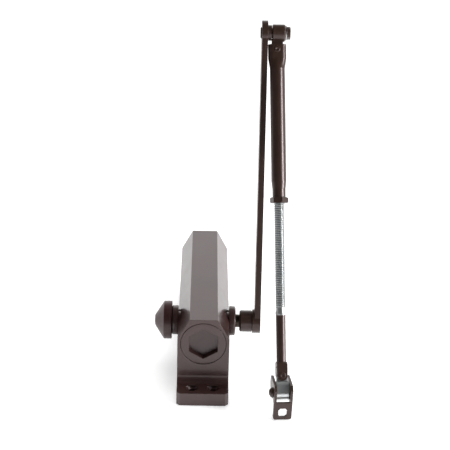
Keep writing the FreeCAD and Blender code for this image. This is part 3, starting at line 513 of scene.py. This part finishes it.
def zinc_plate(name, rough, cool, warm):
    """Bright zinc with the faint warm and cool bloom of its passivation."""
    material, shader, place = start_finish(name)
    shader.inputs["Metallic"].default_value = 1.0
    bloom = place.grain(0.006, detail=4.0, roughness=0.6)
    spangle = place.grain(0.0006)
    (bloom * 1.2 - 0.1).capped().blend(cool, warm).feed(shader, "Base Color")
    (rough + bloom * 0.12 + spangle * 0.10).feed(shader, "Roughness")
    spangle.relief(0.000008).feed(shader, "Normal")
    return material


zinc = zinc_plate("zinc_plate", rough=0.22, cool=(0.46, 0.49, 0.52, 1),
                  warm=(0.66, 0.66, 0.64, 1))
# Dark zinc for the faces deep in the thread: painted shade in its roots.
zinc_root_painted_shade = zinc_plate("zinc_thread_root_painted_shade", rough=0.40, cool=(0.10, 0.11, 0.12, 1),
                       warm=(0.17, 0.17, 0.165, 1))
THREAD_R, THREAD_DEEP, THREAD_PITCH, THREAD_FIT = 0.0047625, 0.00088, 0.0015875, 0.00003
THREAD_TOP, THREAD_LOW, ROD_LOW = -0.0610, -0.2306, -0.2460
RIDGE_POINTS, SHADED_ROOT_SHARE = 8, 0.58
FOREARM_LEAN, TUBE_SPLAY, ROD_TURN = (math.radians(angle) for angle in (-26.56, -1.68, 6.5))
TUBE_RIVET = Vector((0.0607, 0, -0.015))
forearm_lean = Matrix.Translation(ELBOW) @ Matrix.Rotation(FOREARM_LEAN, 4, "X")
tube_place = (forearm_lean @ Matrix.Translation(TUBE_RIVET)
              @ Matrix.Rotation(TUBE_SPLAY, 4, "Y"))
rod_place = tube_place @ Matrix.Rotation(ROD_TURN, 4, "Z")

ridge_outline = []
for step in range(RIDGE_POINTS + 1):
    swell = 0.5 + 0.5 * math.cos(2.0 * math.pi * step / RIDGE_POINTS)
    ridge_outline.append((THREAD_R - THREAD_DEEP * swell - THREAD_FIT,
                          THREAD_LOW + 0.0001 + THREAD_PITCH * step / RIDGE_POINTS))
ridge = draw_outline("threaded_rod_rolled", ridge_outline)
bpy.ops.object.mode_set(mode="OBJECT")
wind(ridge, THREAD_PITCH, int((THREAD_TOP - THREAD_LOW) / THREAD_PITCH), steps=24)
bpy.ops.mesh.normals_make_consistent(inside=False)
settle(ridge, rod_place, zinc)
ridge.data.materials.append(zinc_root_painted_shade)
into_rod = rod_place.inverted()
# Faces deep in the thread take the dark zinc, painted shade in the roots.
for face in ridge.data.polygons:
    spot = into_rod @ face.center
    if math.hypot(spot.x, spot.y) < THREAD_R - SHADED_ROOT_SHARE * THREAD_DEEP:
        face.material_index = 1

CORE_R = THREAD_R - THREAD_DEEP - 0.00001
POINT_R, NECK_R, COLLAR_R, SPIGOT_IN_FORK_R = 0.0034, 0.0040, 0.0046, 0.0025
COLLAR_END = THREAD_LOW - 0.0054
rod_core = turned("threaded_rod_core", [
    (0.0, THREAD_TOP - 0.0006), (POINT_R, THREAD_TOP - 0.0006), (NECK_R, THREAD_TOP - 0.0012),
    (CORE_R, THREAD_TOP - 0.002), (CORE_R, THREAD_LOW),
    (NECK_R, THREAD_LOW - 0.0001), (NECK_R, THREAD_LOW - 0.0018),
    (COLLAR_R, THREAD_LOW - 0.0021), (COLLAR_R, COLLAR_END + 0.0003),
    (COLLAR_R - 0.0003, COLLAR_END), (SPIGOT_IN_FORK_R, COLLAR_END),
    (SPIGOT_IN_FORK_R, ROD_LOW), (0.0, ROD_LOW)], rod_place, zinc, steps=56)
for piece in (ridge, rod_core):
    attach(piece, "rod")
    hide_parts("threaded_rod")


# ---------------------------------------------------------------- rod end and shoe
# The rod's fork holds a plated knuckle, which swivels in the U-shaped steel
# bracket that is screwed to the door frame.

dress(arm_paint, "rod_end", "rod_rivet")
SHOE_DOWN = 0.3038
shoe_place = (rod_place @ Matrix.Translation((0, 0, -SHOE_DOWN))
              @ Matrix.Rotation(-FOREARM_LEAN, 4, "X")
              @ Matrix.Rotation(math.radians(-90), 4, "Y"))
PIN_R, PIN_SEAT, PIN_HEAD_R, PIN_HEAD_TOP = 0.0032, 0.00825, 0.00475, 0.0115
PIN_TAIL_R, PIN_TAIL_END = 0.0040, -0.0089
pin = turned("shoe_pin_headed", [
    (0.0, PIN_HEAD_TOP), (0.0010, 0.01145), (0.0020, 0.01125), (0.0029, 0.01085),
    (0.0037, 0.0102), (0.0043, 0.0094), (0.0047, 0.0086), (PIN_HEAD_R, PIN_SEAT),
    (PIN_R, PIN_SEAT), (PIN_R, -PIN_SEAT), (PIN_TAIL_R, -PIN_SEAT),
    (PIN_TAIL_R - 0.0003, PIN_TAIL_END + 0.0003), (PIN_TAIL_R - 0.0009, PIN_TAIL_END + 0.0001),
    (0.0, PIN_TAIL_END)], shoe_place, arm_paint)
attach(pin, "shoe")
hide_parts("shoe_pin")
dress(zinc, "shoe_knuckle")
dress(arm_paint, "shoe_bracket")


# ---------------------------------------------------------------- studio
# Pale floor that glows a little and runs up to a pale backdrop, a wide soft light
# overhead that nothing mirrors, and a tall one at the front right. The room behind
# the camera is dark.

FLOOR_REACH, FLOOR_GAP = 9.0, 0.0002
bpy.ops.mesh.primitive_plane_add(size=2.0 * FLOOR_REACH,
                                 location=(0, 0, cad_box[0][2] - FLOOR_GAP))
floor = bpy.context.object
floor.name = "studio_floor"
floor_finish, floor_shader, floor_place = start_finish("floor_paper")
paper = floor_place.grain(0.05)
paper.blend((0.90, 0.90, 0.90, 1), (0.93, 0.93, 0.93, 1)).feed(floor_shader, "Base Color")
floor_shader.inputs["Roughness"].default_value = 0.9
floor_shader.inputs["Emission Color"].default_value = (1, 1, 1, 1)
floor_shader.inputs["Emission Strength"].default_value = 0.38
floor.data.materials.append(floor_finish)

scene = bpy.context.scene
scene.view_settings.view_transform = "Standard"
world = bpy.data.worlds.new("studio_room")
scene.world = world
world.use_nodes = True
backdrop = world.node_tree.nodes["Background"]
way = Signal(world.node_tree.nodes.new("ShaderNodeTexCoord").outputs["Generated"])
ahead = way.node("SeparateXYZ", None, {0: way}, "Y")
lit = way.node("MapRange", {"interpolation_type": "SMOOTHSTEP"},
               {"Value": ahead, "From Min": 0.10, "From Max": 0.55, "To Min": 0.12, "To Max": 1.32})
height = way.node("SeparateXYZ", None, {0: way}, "Z")
roof = way.node("MapRange", {"interpolation_type": "SMOOTHSTEP"},
                {"Value": height, "From Min": 0.50, "From Max": 0.75, "To Min": 1.0, "To Max": 0.2})
(lit * roof).feed(backdrop, "Strength")
backdrop.inputs["Color"].default_value = (1, 1, 1, 1)


def softbox(name, place, aim, wide, tall, power, mirrored):
    """A rectangular lamp that faces aim. A piece's shine shows it only if it is mirrored."""
    light = bpy.data.lights.new(name, "AREA")
    light.shape = "RECTANGLE"
    light.size, light.size_y, light.energy = wide, tall, power
    lamp = bpy.data.objects.new(name, light)
    scene.collection.objects.link(lamp)
    lamp.location = place
    lamp.visible_glossy = mirrored
    lamp.rotation_euler = (Vector(aim) - Vector(place)).to_track_quat("-Z", "Y").to_euler()


softbox("overhead_light", place=(0.0, 0.35, 1.9), aim=(0.0, 0.2, 0.0), wide=1.3, tall=2.6,
        power=34.0, mirrored=False)
softbox("front_right_light", place=(1.33, -0.51, 0.43), aim=(0.05, 0.0, 0.15), wide=0.30,
        tall=0.9, power=30.0, mirrored=True)


# ---------------------------------------------------------------- camera
# Long lens from above the hexagon end, looking along the body and down at it, and
# rolled by a degree and a half.

EYE = Vector((-0.0031, -1.0981, 0.5970))
PITCH, YAW, ROLL = (math.radians(angle) for angle in (23.28, 1.12, 1.55))
forward = Vector((math.sin(YAW) * math.cos(PITCH), math.cos(YAW) * math.cos(PITCH),
                  -math.sin(PITCH)))
level = Vector((math.cos(YAW), -math.sin(YAW), 0))
rise = level.cross(forward)
right = math.cos(ROLL) * level + math.sin(ROLL) * rise
up = math.cos(ROLL) * rise - math.sin(ROLL) * level
camera_data = bpy.data.cameras.new("camera")
camera_data.sensor_width, camera_data.lens = 36.0, 101.66
camera = bpy.data.objects.new("camera", camera_data)
scene.collection.objects.link(camera)
camera.matrix_world = Matrix.Translation(EYE) @ Matrix((right, up, -forward)).transposed().to_4x4()
scene.camera = camera

bpy.context.view_layer.update()
